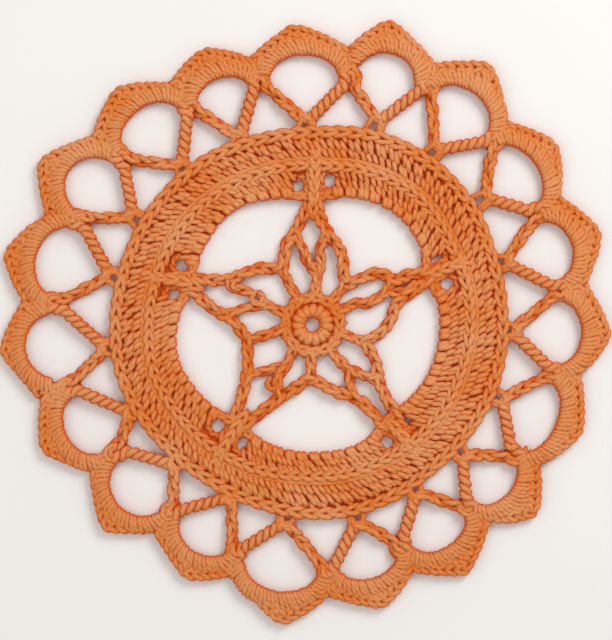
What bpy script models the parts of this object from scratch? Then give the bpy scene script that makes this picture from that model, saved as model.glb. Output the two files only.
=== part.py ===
"""A crocheted lace doily in orange cotton yarn, lying flat: one solid, in metres, +Z up.

It is worked in rounds from the middle out: a ring, a five-pointed star of chain cords, a band of two
rounds of tall stitches, a net of long legs, and an edging of 19 pointed arches. Seen from above, +X is
right and +Y is away. The underside lies on z = 0, and the origin is under the middle of the outline.

Lengths in the tables are millimetres. A bearing is in degrees, 0 at +Y and growing clockwise, seen from
above, and is taken about HUB, the middle of the band.
"""

from collections import namedtuple
from math import cos, pi, radians, sin

import bmesh
import bpy
from mathutils import Vector

MM = 0.001
HUB = Vector((0.7, -1.25))

# The hand-made rounds are uneven, so each table has a row for every scallop, star point or stretch.
# bearing; radius of the band's inner edge and of its outer edge
BandEdge = namedtuple("BandEdge", "bearing inner outer")
BAND_EDGES = [
    BandEdge(3.0, 43.4, 70.3),
    BandEdge(20.0, 47.3, 72.8),
    BandEdge(38.0, 49.4, 73.8),
    BandEdge(55.0, 47.6, 73.1),
    BandEdge(67.0, 43.8, 71.4),
    BandEdge(80.0, 45.5, 70.7),
    BandEdge(95.0, 45.7, 70.7),
    BandEdge(115.0, 44.5, 70.0),
    BandEdge(138.5, 41.3, 68.3),
    BandEdge(155.0, 44.5, 68.8),
    BandEdge(175.0, 44.1, 68.2),
    BandEdge(195.0, 43.1, 66.5),
    BandEdge(215.0, 40.6, 66.3),
    BandEdge(230.0, 42.7, 67.2),
    BandEdge(255.0, 46.2, 69.6),
    BandEdge(272.0, 44.8, 69.5),
    BandEdge(288.0, 42.0, 69.3),
    BandEdge(305.0, 44.5, 69.7),
    BandEdge(328.0, 47.6, 70.3),
    BandEdge(345.0, 45.5, 69.7),
]

# join, notch: where this arch meets the one before, at the outer edge; seam, under: the same place at
# its inner side; foot, crotch: where the arch's two legs part above the band; middle, mid: the middle of
# its opening; crown: the radius of the opening's top; half: half its width; tip, reach: the arch's point
Scallop = namedtuple(
    "Scallop", "join notch seam under foot crotch middle mid crown half tip reach"
)
SCALLOPS = [
    Scallop(8.5, 99.0, 10.1, 83.0, 18.7, 78.4, 17.6, 90.5, 100.1, 10.6, 14.3, 110.6),
    Scallop(26.0, 102.6, 27.1, 89.6, 36.0, 79.1, 35.5, 91.5, 100.5, 12.0, 34.6, 111.9),
    Scallop(44.5, 100.5, 45.2, 87.2, 54.1, 79.5, 54.3, 89.8, 98.0, 12.6, 53.3, 108.2),
    Scallop(63.0, 99.8, 63.9, 85.1, 72.1, 75.6, 72.8, 88.2, 97.0, 10.9, 72.0, 108.0),
    Scallop(81.5, 99.1, 82.0, 84.4, 91.4, 74.6, 91.5, 87.5, 96.3, 11.5, 91.6, 106.5),
    Scallop(100.0, 97.3, 101.0, 83.0, 110.6, 75.3, 111.5, 85.4, 93.8, 13.5, 110.5, 103.4),
    Scallop(121.0, 95.2, 122.3, 80.5, 129.8, 73.5, 129.5, 84.1, 91.7, 10.5, 129.5, 104.2),
    Scallop(137.0, 93.8, 139.1, 79.8, 146.9, 72.5, 147.3, 83.8, 91.7, 11.2, 147.0, 103.5),
    Scallop(157.0, 93.8, 156.9, 78.8, 165.7, 73.5, 165.7, 83.5, 91.4, 11.2, 164.6, 102.2),
    Scallop(175.5, 95.2, 175.0, 82.3, 186.4, 71.8, 186.0, 83.4, 93.8, 13.8, 184.5, 105.0),
    Scallop(196.0, 91.0, 198.0, 78.8, 204.4, 68.6, 206.0, 80.2, 88.6, 10.5, 205.5, 98.4),
    Scallop(217.0, 90.0, 215.6, 75.6, 224.1, 70.0, 226.4, 80.9, 91.4, 11.6, 224.5, 100.9),
    Scallop(236.5, 91.7, 236.6, 74.6, 244.0, 72.1, 245.9, 83.8, 92.8, 11.4, 244.5, 102.8),
    Scallop(255.0, 97.0, 255.8, 81.2, 263.9, 73.9, 265.5, 88.1, 99.4, 11.7, 265.3, 108.2),
    Scallop(275.0, 100.5, 275.1, 83.3, 284.3, 74.2, 284.6, 87.8, 98.4, 13.1, 283.0, 109.2),
    Scallop(293.0, 99.8, 295.4, 83.0, 302.1, 74.9, 303.1, 88.4, 99.8, 10.9, 301.0, 110.4),
    Scallop(311.5, 100.8, 312.3, 82.6, 321.7, 74.2, 321.4, 86.8, 96.3, 12.6, 321.0, 107.2),
    Scallop(330.5, 98.0, 331.8, 82.6, 340.1, 73.2, 339.9, 84.8, 92.4, 10.2, 339.0, 104.0),
    Scallop(348.0, 96.3, 348.9, 83.3, 359.7, 74.2, 359.2, 86.1, 95.2, 12.6, 356.8, 105.6),
]

# One row for each point of the star, clockwise from the top; every place is (x, y) in millimetres.
# dip: where its outline meets the point before; dip_foot, rib_foot: where the spokes to the dip and
# along the point's middle stand on the ring; fork: where the middle spoke parts; near_bend, near_land
# and far_bend, far_land: the outline's bends, and where the fork lands on it, on the anticlockwise and
# the clockwise side; merge: where both sides join; root: where they run into the band
StarPoint = namedtuple(
    "StarPoint", "dip dip_foot rib_foot fork near_bend near_land far_bend far_land merge root"
)
STAR = [
    StarPoint((-8.3, 19.1), (-3.9, 8.2), (3.3, 8.2), (4.1, 17.1), (-6.4, 26.4),
              (-3.0, 29.9), (12.4, 23.6), (6.8, 29.9), (2.3, 40.4), (3.7, 57.2)),
    StarPoint((14.2, 13.8), (8.9, 6.7), (11.7, 3.4), (27.8, 9.6), (23.3, 16.0),
              (29.9, 15.2), (29.2, 1.6), (32.7, 8.9), (38.3, 14.5), (53.0, 20.5)),
    StarPoint((21.0, -7.0), (12.1, -3.8), (8.1, -9.0), (15.8, -17.0), (24.7, -13.1),
              (25.6, -19.4), (9.7, -23.9), (16.3, -25.7), (29.9, -34.1), (37.6, -43.9)),
    StarPoint((1.7, -19.9), (2.1, -10.2), (-3.9, -8.2), (-7.4, -15.6), (-4.7, -23.5),
              (-9.9, -26.4), (-21.0, -12.1), (-21.0, -17.9), (-23.6, -33.8), (-30.6, -47.8)),
    StarPoint((-20.4, -6.2), (-7.5, -1.8), (-6.3, 3.0), (-15.2, 6.8), (-25.2, -0.9),
              (-27.5, 2.6), (-14.4, 19.1), (-25.7, 15.2), (-37.6, 11.4), (-52.0, 15.9)),
]

# The eyelets on each side of a star point's root: bearing and radius of the middle of each.
EYELETS = [
    (355.8, 49.3), (8.7, 51.4), (62.2, 51.1), (73.3, 51.0), (132.8, 47.9),
    (145.3, 49.2), (208.6, 47.1), (221.8, 46.9), (282.7, 47.9), (295.8, 48.8),
]
EYELET_RADIUS = 2.6
EYELET_SIDES = 10
EYELET_LEVELS = (-2.0, 8.0)  # a punch runs from below the doily to above it

RING_CENTRE = Vector((2.5, -0.8))
RING_SIDES = 30
BAND_SIDES = 96

# Section profiles: (share of the width from the inner edge, height above the table)
BAND_PROFILE = [
    (0.00, 0.0), (0.00, 1.9), (0.05, 3.3), (0.15, 2.9), (0.36, 3.0), (0.44, 3.7),
    (0.53, 2.9), (0.80, 3.0), (0.91, 3.8), (1.00, 2.1), (1.00, 0.0),
]
ARCH_PROFILE = [
    (0.00, 0.0), (0.00, 2.3), (0.17, 4.2), (0.46, 3.1), (0.80, 3.8), (1.00, 2.0), (1.00, 0.0),
]
# The same for the ring in the middle, with the distance from its centre in place of the share.
RING_PROFILE = [(2.9, 0.0), (2.9, 2.4), (5.6, 4.4), (8.6, 3.1), (10.4, 3.4), (11.8, 1.8), (11.8, 0.0)]

# Around one arch: angle round its opening from the first join, which side of its outline the section
# ends on, and how far along that side. The sides are JOIN_IN, FLANK_UP, FLANK_DOWN and JOIN_OUT.
JOIN_IN, FLANK_UP, FLANK_DOWN, JOIN_OUT = range(4)
ARCH_SECTIONS = [
    (-20, JOIN_IN, 0.0),
    (8, JOIN_IN, 0.55),
    (36, FLANK_UP, 0.0),
    (54, FLANK_UP, 0.42),
    (72, FLANK_UP, 0.78),
    (90, FLANK_UP, 1.0),
    (108, FLANK_DOWN, 0.22),
    (126, FLANK_DOWN, 0.58),
    (144, FLANK_DOWN, 1.0),
    (172, JOIN_OUT, 0.45),
    (200, JOIN_OUT, 1.0),
]
FLANK_BULGE = 0.9  # how far an arch's flanks swell past a straight line
JOIN_LAP = 0.6  # how far an arch laps over the line where it meets its neighbour

LEG_WIDTH = 4.3
LEG_HEIGHT = 3.3
LEG_TOP_IN = 3.5  # how far a leg runs on past the join's inner side
LEG_KNEE_IN = 3.4  # how far inside the crotch the middles of its two legs cross
LEG_SPREAD = 1.2  # degrees from there to where each stands on the band
LEG_FOOT_IN = 2.0  # how far it runs on into the band
CORD_WIDTH = 4.3
CORD_HEIGHT = 3.1
CORD_PARTING = 1.3  # how far each side of a star point stays from the point's middle where they merge
MITRE_LIMIT = 0.6  # a bend widens its cord's section by no more than 1 over this
ROOT_WIDTH = 6.6
ROOT_HEIGHT = 3.6
SPOKE_IN = 1.5  # how far a spoke runs on into the ring

# A cord's section: (share of half the width, share of the height), anticlockwise from below
CORD_PROFILE = [(-0.55, 0.0), (0.55, 0.0), (1.0, 0.42), (0.55, 1.0), (-0.55, 1.0), (-1.0, 0.42)]

YARN_ORANGE = (0.74, 0.25, 0.066, 1.0)
YARN_ROUGHNESS = 0.85


def at(bearing, radius):
    """The place in plan at a bearing and radius from the hub."""
    turn = radians(bearing)
    return HUB + radius * Vector((sin(turn), cos(turn)))


def edge_radii(bearing):
    """The band's inner and outer radius at a bearing, on a smooth curve through BAND_EDGES."""
    count = len(BAND_EDGES)
    following = next((i for i, row in enumerate(BAND_EDGES) if row.bearing > bearing), 0)
    rows = [BAND_EDGES[(following + step) % count] for step in (-2, -1, 0, 1)]
    span = (rows[2].bearing - rows[1].bearing) % 360
    share = ((bearing - rows[1].bearing) % 360) / span

    def smooth(column):
        before, start, end, after = (getattr(row, column) for row in rows)
        slope = end - before
        curve = 2 * before - 5 * start + 4 * end - after
        twist = 3 * (start - end) + after - before
        return start + 0.5 * share * (slope + share * (curve + share * twist))

    return smooth("inner"), smooth("outer")


def solid(name, rings, closed):
    """One closed mesh object through rings of points; open runs get an end face on each side."""
    mesh = bmesh.new()
    loops = [[mesh.verts.new(MM * Vector(point)) for point in ring] for ring in rings]
    pairs = list(zip(loops, loops[1:]))
    if closed:
        pairs.append((loops[-1], loops[0]))
    else:
        mesh.faces.new(loops[0])
        mesh.faces.new(loops[-1])
    for one, other in pairs:
        for k in range(len(one)):
            mesh.faces.new((one[k - 1], one[k], other[k], other[k - 1]))
    bmesh.ops.recalc_face_normals(mesh, faces=mesh.faces)
    data = bpy.data.meshes.new(name)
    mesh.to_mesh(data)
    mesh.free()
    made = bpy.data.objects.new(name, data)
    bpy.context.scene.collection.objects.link(made)
    return made


def across(inner, outer, profile):
    """A section's points: the profile laid from an inner to an outer place in plan."""
    return [(*inner.lerp(outer, share), height) for share, height in profile]


def band():
    """Two rounds of tall stitches, each with a raised row of stitch tops at its outer side."""
    rings = []
    for step in range(BAND_SIDES):
        bearing = 360 * step / BAND_SIDES
        inner, outer = edge_radii(bearing)
        rings.append(across(at(bearing, inner), at(bearing, outer), BAND_PROFILE))
    return solid("band", rings, closed=True)


def centre_ring():
    """The round that the doily starts from: a fat roll of wraps with a low rim of stitch feet."""
    rings = []
    for step in range(RING_SIDES):
        turn = 2 * pi * step / RING_SIDES
        ray = Vector((sin(turn), cos(turn)))
        rings.append([(*(RING_CENTRE + reach * ray), height) for reach, height in RING_PROFILE])
    return solid("centre_ring", rings, closed=True)


def arch(row, following):
    """One pointed arch of the edging, swept round its opening from join to join."""
    centre = at(row.middle, row.mid)
    outward = (centre - HUB).normalized()
    onward = Vector((outward.y, -outward.x))
    lap_in = -JOIN_LAP * onward
    lap_out = JOIN_LAP * onward
    corners = [
        at(row.seam, row.under) + lap_in,
        at(row.join, row.notch) + lap_in,
        at(row.tip, row.reach),
        at(following.join, following.notch) + lap_out,
        at(following.seam, following.under) + lap_out,
    ]
    rings = []
    for angle, side, share in ARCH_SECTIONS:
        turn = radians(angle)
        inner = centre - row.half * cos(turn) * onward + (row.crown - row.mid) * sin(turn) * outward
        outer = corners[side].lerp(corners[side + 1], share)
        if side in (FLANK_UP, FLANK_DOWN):
            outer += FLANK_BULGE * sin(pi * share) * (outer - centre).normalized()
        rings.append(across(inner, outer, ARCH_PROFILE))
    return solid("arch", rings, closed=False)


def cord(name, route, width, height):
    """A flat-bottomed cord of even width along places in plan, mitred at its bends."""
    rings = []
    for k, place in enumerate(route):
        arriving = (place - route[k - 1]).normalized() if k else None
        leaving = (route[k + 1] - place).normalized() if k + 1 < len(route) else None
        heading = ((arriving or leaving) + (leaving or arriving)).normalized()
        side = Vector((heading.y, -heading.x))
        reach = width / 2 / max(MITRE_LIMIT, heading.dot(leaving or arriving))
        rings.append([(*(place + half * reach * side), up * height) for half, up in CORD_PROFILE])
    return solid(name, rings, closed=False)


def legs():
    """The net: from each join one leg to the foot before it and one to the foot after it."""
    for row, before in zip(SCALLOPS, SCALLOPS[-1:] + SCALLOPS[:-1]):
        top = at(row.seam, row.under + LEG_TOP_IN)
        for landing, spread in ((before, LEG_SPREAD), (row, -LEG_SPREAD)):
            bearing = landing.foot + spread
            foot = at(bearing, edge_radii(bearing % 360)[1] - LEG_FOOT_IN)
            knee = at(landing.foot, landing.crotch - LEG_KNEE_IN)
            yield cord("leg", [foot, knee, top], LEG_WIDTH, LEG_HEIGHT)


def star():
    """The star's cords: its outline, a spoke to each dip and a forked spoke in each point."""
    for row, following in zip(STAR, STAR[1:] + STAR[:1]):
        place = {name: Vector(xy) for name, xy in row._asdict().items()}
        outward = (place["root"] - place["merge"]).normalized()
        aside = CORD_PARTING * Vector((-outward.y, outward.x))
        near_side = (place["dip"], place["near_bend"], place["near_land"], place["merge"] + aside)
        far_side = (Vector(following.dip), place["far_bend"], place["far_land"], place["merge"] - aside)
        yield cord("near_side", near_side, CORD_WIDTH, CORD_HEIGHT)
        yield cord("far_side", far_side, CORD_WIDTH, CORD_HEIGHT)
        yield cord("root", (place["merge"], place["root"]), ROOT_WIDTH, ROOT_HEIGHT)
        for landing in ("near_land", "far_land"):
            yield cord("fork", (place["fork"], place[landing]), CORD_WIDTH, CORD_HEIGHT)
        for outer, foot in (("dip", "dip_foot"), ("fork", "rib_foot")):
            inward = (RING_CENTRE - place[foot]).normalized()
            spoke = (place[outer], place[foot] + SPOKE_IN * inward)
            yield cord("spoke", spoke, CORD_WIDTH, CORD_HEIGHT)


def eyelets():
    """A punch for each eyelet, taller than the doily."""
    for bearing, radius in EYELETS:
        middle = at(bearing, radius)
        turns = [2 * pi * step / EYELET_SIDES for step in range(EYELET_SIDES)]
        plan = [middle + EYELET_RADIUS * Vector((cos(turn), sin(turn))) for turn in turns]
        ends = [[(*place, level) for place in plan] for level in EYELET_LEVELS]
        yield solid("eyelet", ends, closed=False)


def gathered(name, pieces):
    """A collection that holds the pieces, for a Boolean modifier to work with."""
    group = bpy.data.collections.new(name)
    bpy.context.scene.collection.children.link(group)
    for piece in pieces:
        bpy.context.scene.collection.objects.unlink(piece)
        group.objects.link(piece)
    return group


def worked_together(base, added, punched):
    """The base joined with the added pieces and then cut by the punches, as one mesh."""
    for kind, group in (("UNION", gathered("added", added)), ("DIFFERENCE", gathered("punched", punched))):
        step = base.modifiers.new(kind, "BOOLEAN")
        step.operation = kind
        step.operand_type = "COLLECTION"
        step.collection = group
    bpy.context.view_layer.update()
    evaluated = base.evaluated_get(bpy.context.evaluated_depsgraph_get())
    return bpy.data.meshes.new_from_object(evaluated)


def yarn():
    material = bpy.data.materials.new("orange_cotton_yarn")
    material.use_nodes = True
    shader = material.node_tree.nodes["Principled BSDF"]
    shader.inputs["Base Color"].default_value = YARN_ORANGE
    shader.inputs["Roughness"].default_value = YARN_ROUGHNESS
    shader.inputs["Metallic"].default_value = 0.0
    return material


def clear_scene():
    for item in list(bpy.data.objects):
        bpy.data.objects.remove(item, do_unlink=True)


def main():
    clear_scene()
    arches = [arch(row, following) for row, following in zip(SCALLOPS, SCALLOPS[1:] + SCALLOPS[:1])]
    mesh = worked_together(band(), [centre_ring(), *arches, *legs(), *star()], list(eyelets()))
    clear_scene()
    mesh.name = "doily"
    mesh.materials.clear()
    mesh.materials.append(yarn())
    bpy.context.scene.collection.objects.link(bpy.data.objects.new("doily", mesh))


main()
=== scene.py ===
"""The looks of a crocheted lace doily in orange cotton yarn, stitch by stitch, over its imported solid.

Lengths are in millimetres until a mesh is made. A bearing is in degrees, 0 at +Y and growing
clockwise, seen from above, about HUB, the middle of the band. The rounds are worked anticlockwise,
so the chains along their tops run that way.
"""

from collections import namedtuple
from math import cos, pi, radians, sin

import bmesh
import bpy
import numpy as np
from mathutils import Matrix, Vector
from mathutils.kdtree import KDTree


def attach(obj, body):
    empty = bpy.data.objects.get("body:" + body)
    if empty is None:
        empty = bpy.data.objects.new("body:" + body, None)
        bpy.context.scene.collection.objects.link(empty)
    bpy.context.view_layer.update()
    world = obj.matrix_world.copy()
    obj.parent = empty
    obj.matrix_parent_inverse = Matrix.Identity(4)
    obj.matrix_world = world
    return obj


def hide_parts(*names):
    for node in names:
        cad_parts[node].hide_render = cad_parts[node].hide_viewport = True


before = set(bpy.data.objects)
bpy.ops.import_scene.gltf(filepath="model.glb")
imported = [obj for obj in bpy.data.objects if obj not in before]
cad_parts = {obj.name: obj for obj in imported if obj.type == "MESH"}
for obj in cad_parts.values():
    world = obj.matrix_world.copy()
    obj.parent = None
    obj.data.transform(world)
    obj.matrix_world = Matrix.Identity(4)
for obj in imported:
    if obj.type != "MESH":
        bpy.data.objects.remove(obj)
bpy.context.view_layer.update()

MM = 0.001
HUB = np.array((0.7, -1.25))
RING_CENTRE = np.array((2.5, -0.8))  # the centre ring lies a little off the band's middle
luck = np.random.default_rng(11)
laid = []  # the plan of every yarn's path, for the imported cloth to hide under

# ---------------------------------------------------------------------------------------------------
# The doily's layout, as the solid has it
# ---------------------------------------------------------------------------------------------------

# Bearing; radius of the band's inner edge and of its outer edge
BandEdge = namedtuple("BandEdge", "bearing inner outer")
BAND_EDGES = [BandEdge(*row) for row in (
    (3.0, 43.4, 70.3), (20.0, 47.3, 72.8), (38.0, 49.4, 73.8), (55.0, 47.6, 73.1), (67.0, 43.8, 71.4),
    (80.0, 45.5, 70.7), (95.0, 45.7, 70.7), (115.0, 44.5, 70.0), (138.5, 41.3, 68.3), (155.0, 44.5, 68.8),
    (175.0, 44.1, 68.2), (195.0, 43.1, 66.5), (215.0, 40.6, 66.3), (230.0, 42.7, 67.2), (255.0, 46.2, 69.6),
    (272.0, 44.8, 69.5), (288.0, 42.0, 69.3), (305.0, 44.5, 69.7), (328.0, 47.6, 70.3), (345.0, 45.5, 69.7),
)]

# Bearing and radius of the chain between the band's two rounds
MIDDLE_LINE = [
    (5, 56.2), (15, 57.3), (25, 58.3), (40, 59.2), (50, 58.5), (60, 57.4), (75, 57.2), (90, 56.7),
    (105, 55.9), (120, 55.6), (132, 54.9), (150, 53.7), (165, 53.3), (180, 52.4), (195, 52.7),
    (218, 53.8), (235, 54.8), (255, 56.0), (270, 55.4), (293, 55.4), (310, 55.9), (330, 55.9),
    (345, 55.9),
]
TOP_CHAIN_IN = 2.4  # how far inside the band's outer edge the chain along its top runs

# The first round's tall stitches between the star's columns: first and last bearing, stitches, and
# the rounded feet that show along the inner edge
StitchRun = namedtuple("StitchRun", "first last stitches feet")
STITCH_RUNS = [
    StitchRun(13.0, 58.2, 11, 10),
    StitchRun(77.6, 129.6, 13, 11),
    StitchRun(150.2, 204.0, 13, 11),
    StitchRun(227.0, 278.4, 13, 11),
    StitchRun(300.0, 351.4, 13, 11),
]

# Bearing and radius of the middle of each eyelet beside the star's columns
EYELETS = [
    (355.8, 49.3), (8.7, 51.4), (62.2, 51.1), (73.3, 51.0), (132.8, 47.9), (145.3, 49.2),
    (208.6, 47.1), (221.8, 46.9), (282.7, 47.9), (295.8, 48.8),
]
EYELET_RIM = 3.4  # the radius of the yarn round each

# One row for each arch, clockwise, every place as its bearing and radius. join, notch: where this arch
# meets the one before, at the outer edge; seam, under: the same at its inner side; foot, crotch: where
# the arch's two legs part above the band; middle, mid: the middle of its opening; crown: the radius of
# the opening's top; half: half its width; tip, reach: the arch's point
Scallop = namedtuple("Scallop", "join notch seam under foot crotch middle mid crown half tip reach")
SCALLOPS = [Scallop(*row) for row in (
    (8.5, 99.0, 10.1, 83.0, 18.7, 78.4, 17.6, 90.5, 100.1, 10.6, 14.3, 110.6),
    (26.0, 102.6, 27.1, 89.6, 36.0, 79.1, 35.5, 91.5, 100.5, 12.0, 34.6, 111.9),
    (44.5, 100.5, 45.2, 87.2, 54.1, 79.5, 54.3, 89.8, 98.0, 12.6, 53.3, 108.2),
    (63.0, 99.8, 63.9, 85.1, 72.1, 75.6, 72.8, 88.2, 97.0, 10.9, 72.0, 108.0),
    (81.5, 99.1, 82.0, 84.4, 91.4, 74.6, 91.5, 87.5, 96.3, 11.5, 91.6, 106.5),
    (100.0, 97.3, 101.0, 83.0, 110.6, 75.3, 111.5, 85.4, 93.8, 13.5, 110.5, 103.4),
    (121.0, 95.2, 122.3, 80.5, 129.8, 73.5, 129.5, 84.1, 91.7, 10.5, 129.5, 104.2),
    (137.0, 93.8, 139.1, 79.8, 146.9, 72.5, 147.3, 83.8, 91.7, 11.2, 147.0, 103.5),
    (157.0, 93.8, 156.9, 78.8, 165.7, 73.5, 165.7, 83.5, 91.4, 11.2, 164.6, 102.2),
    (175.5, 95.2, 175.0, 82.3, 186.4, 71.8, 186.0, 83.4, 93.8, 13.8, 184.5, 105.0),
    (196.0, 91.0, 198.0, 78.8, 204.4, 68.6, 206.0, 80.2, 88.6, 10.5, 205.5, 98.4),
    (217.0, 90.0, 215.6, 75.6, 224.1, 70.0, 226.4, 80.9, 91.4, 11.6, 224.5, 100.9),
    (236.5, 91.7, 236.6, 74.6, 244.0, 72.1, 245.9, 83.8, 92.8, 11.4, 244.5, 102.8),
    (255.0, 97.0, 255.8, 81.2, 263.9, 73.9, 265.5, 88.1, 99.4, 11.7, 265.3, 108.2),
    (275.0, 100.5, 275.1, 83.3, 284.3, 74.2, 284.6, 87.8, 98.4, 13.1, 283.0, 109.2),
    (293.0, 99.8, 295.4, 83.0, 302.1, 74.9, 303.1, 88.4, 99.8, 10.9, 301.0, 110.4),
    (311.5, 100.8, 312.3, 82.6, 321.7, 74.2, 321.4, 86.8, 96.3, 12.6, 321.0, 107.2),
    (330.5, 98.0, 331.8, 82.6, 340.1, 73.2, 339.9, 84.8, 92.4, 10.2, 339.0, 104.0),
    (348.0, 96.3, 348.9, 83.3, 359.7, 74.2, 359.2, 86.1, 95.2, 12.6, 356.8, 105.6),
)]

# One row for each point of the star, clockwise from the top, every line as (x, y) places.
# near, far: its outline from the dip before it, and from the dip after it, to where they merge;
# spoke: the rib along its middle from the ring; forks: the rib's branches to the outline;
# dip_foot: where the ring carries the cord to the dip before it; column: from the merge into the band
StarPoint = namedtuple("StarPoint", "near far spoke forks dip_foot column")
STAR = [
    StarPoint(
        near=[(-8.3, 19.1), (-7.2, 24.3), (-6.3, 28.2), (-3.7, 31.7), (-1.6, 35.8), (0.9, 41.0),
              (1.7, 46.0), (2.0, 52.0)],
        far=[(14.2, 13.8), (13.3, 19.1), (12.1, 25.4), (8.6, 30.4), (5.9, 34.4), (4.4, 41.0),
             (4.4, 46.0), (4.3, 52.0)],
        spoke=[(3.2, 9.4), (3.6, 13.2), (4.1, 16.6)],
        forks=[
            [(4.1, 16.0), (0.9, 21.2), (-1.2, 26.1), (-3.6, 31.2)],
            [(4.6, 16.4), (5.4, 20.9), (5.2, 26.1), (7.2, 31.2)],
        ],
        dip_foot=(-2.9, 8.0),
        column=[(2.6, 37.2), (2.9, 46.0), (3.1, 52.0), (3.8, 62.0)],
    ),
    StarPoint(
        near=[(14.2, 13.8), (20.8, 15.9), (26.1, 17.5), (31.0, 14.9), (36.2, 16.7), (42.4, 17.9),
              (48.6, 20.2)],
        far=[(21.0, -7.0), (25.8, -3.8), (29.9, 0.7), (31.6, 6.0), (35.1, 9.3), (42.8, 14.6),
             (49.4, 17.6)],
        spoke=[(11.2, 3.2), (17.3, 6.8), (21.9, 6.8), (25.4, 8.6), (28.9, 10.7)],
        forks=[
            [(26.4, 9.0), (28.2, 11.4), (30.6, 15.0)],
            [(28.0, 10.3), (33.1, 10.6), (38.0, 13.0)],
        ],
        dip_foot=(8.7, 6.5),
        column=[(43.6, 16.8), (49.0, 18.9), (58.4, 22.4)],
    ),
    StarPoint(
        near=[(21.0, -7.0), (24.6, -13.0), (25.4, -19.4), (27.9, -26.0), (30.6, -30.0), (33.4, -36.0),
              (37.4, -41.2)],
        far=[(1.7, -19.9), (9.7, -23.9), (18.3, -26.8), (23.6, -31.9), (30.4, -38.6), (35.0, -43.2)],
        spoke=[(7.9, -8.6), (11.5, -13.0), (15.7, -17.0)],
        forks=[
            [(14.6, -16.0), (20.2, -18.4), (25.9, -20.6)],
            [(15.4, -16.4), (15.3, -20.4), (17.2, -25.9)],
        ],
        dip_foot=(11.6, -3.6),
        column=[(29.0, -34.2), (32.6, -38.2), (36.2, -42.2), (41.2, -48.0)],
    ),
    StarPoint(
        near=[(1.6, -19.8), (-3.9, -23.1), (-7.2, -25.5), (-13.4, -29.5), (-17.5, -33.0), (-23.6, -38.0),
              (-26.4, -43.0)],
        far=[(-20.4, -6.2), (-20.4, -11.8), (-20.4, -17.8), (-21.7, -24.1), (-24.1, -31.0),
             (-26.6, -37.2), (-29.4, -42.2)],
        spoke=[(-3.7, -7.9), (-5.2, -11.6), (-7.4, -15.8)],
        forks=[
            [(-6.9, -14.9), (-9.6, -19.6), (-9.4, -27.2)],
            [(-6.8, -15.0), (-12.6, -16.6), (-20.8, -18.4)],
        ],
        dip_foot=(2.2, -10.0),
        column=[(-20.8, -31.6), (-23.0, -34.8), (-25.6, -38.6), (-28.2, -43.2), (-33.2, -51.4)],
    ),
    StarPoint(
        near=[(-20.4, -6.2), (-22.0, -3.6), (-26.0, 1.0), (-30.1, 3.4), (-35.3, 7.2), (-42.0, 12.4),
              (-48.6, 13.8)],
        far=[(-8.3, 19.1), (-14.4, 19.1), (-20.4, 17.5), (-25.8, 15.6), (-32.4, 14.8), (-41.4, 15.8),
             (-48.0, 16.8)],
        spoke=[(-6.0, 2.6), (-10.6, 4.7), (-15.2, 6.8)],
        forks=[
            [(-14.4, 6.4), (-20.2, 5.2), (-28.2, 2.6)],
            [(-18.4, 10.2), (-22.0, 11.4), (-25.7, 12.2), (-26.2, 15.2)],
        ],
        dip_foot=(-7.4, -2.4),
        column=[(-36.6, 11.8), (-42.4, 14.2), (-48.4, 15.2), (-57.6, 16.8)],
    ),
]

# Around one arch: angle round its opening from the first join, which side of its outline the section
# ends on, and how far along that side
JOIN_IN, FLANK_UP, FLANK_DOWN, JOIN_OUT = range(4)
ARCH_SECTIONS = [
    (-20, JOIN_IN, 0.0),
    (8, JOIN_IN, 0.55),
    (36, FLANK_UP, 0.0),
    (54, FLANK_UP, 0.42),
    (72, FLANK_UP, 0.78),
    (90, FLANK_UP, 1.0),
    (108, FLANK_DOWN, 0.22),
    (126, FLANK_DOWN, 0.58),
    (144, FLANK_DOWN, 1.0),
    (172, JOIN_OUT, 0.45),
    (200, JOIN_OUT, 1.0),
]
FIRST_NOTCH, LAST_NOTCH = 2, 8  # the sections at the arch's two notches
FLANK_BULGE = 0.9  # how far an arch's flanks swell out past straight lines

# ---------------------------------------------------------------------------------------------------
# Yarn and stitches
# ---------------------------------------------------------------------------------------------------

YARN = 0.88  # the yarn's radius where it is worked
YARN_SIDES = 8
YARN_UNEVEN = 0.06  # how much one strand is thicker than the next, as a share
TIP, NEAR_TIP = 0.45, 0.86  # a strand's radius at its rounded ends and one point in, as shares
CLOTH_MIDDLE = 1.85  # the level of the middle of the cloth above the table
TURN_PER_STRAND = 1000.0  # spreads the strands apart on the UV map, so that each has its own colour
UPRIGHT = 0.8  # a strand whose heading rises more than this starts upright


def eased(places, count):
    """Points spread along a smooth curve through a few places."""
    places = np.asarray(places, float)
    first = 2 * places[0] - places[1]
    last = 2 * places[-1] - places[-2]
    row = np.vstack([first, places, last])
    reach = np.linspace(0, len(places) - 1, count)
    step = np.minimum(reach.astype(int), len(places) - 2)
    part = (reach - step)[:, None]
    before, start, end, after = (row[step + k] for k in range(4))
    slope = end - before
    curve = 2 * before - 5 * start + 4 * end - after
    twist = 3 * (start - end) + after - before
    return start + 0.5 * part * (slope + part * (curve + part * twist))


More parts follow.
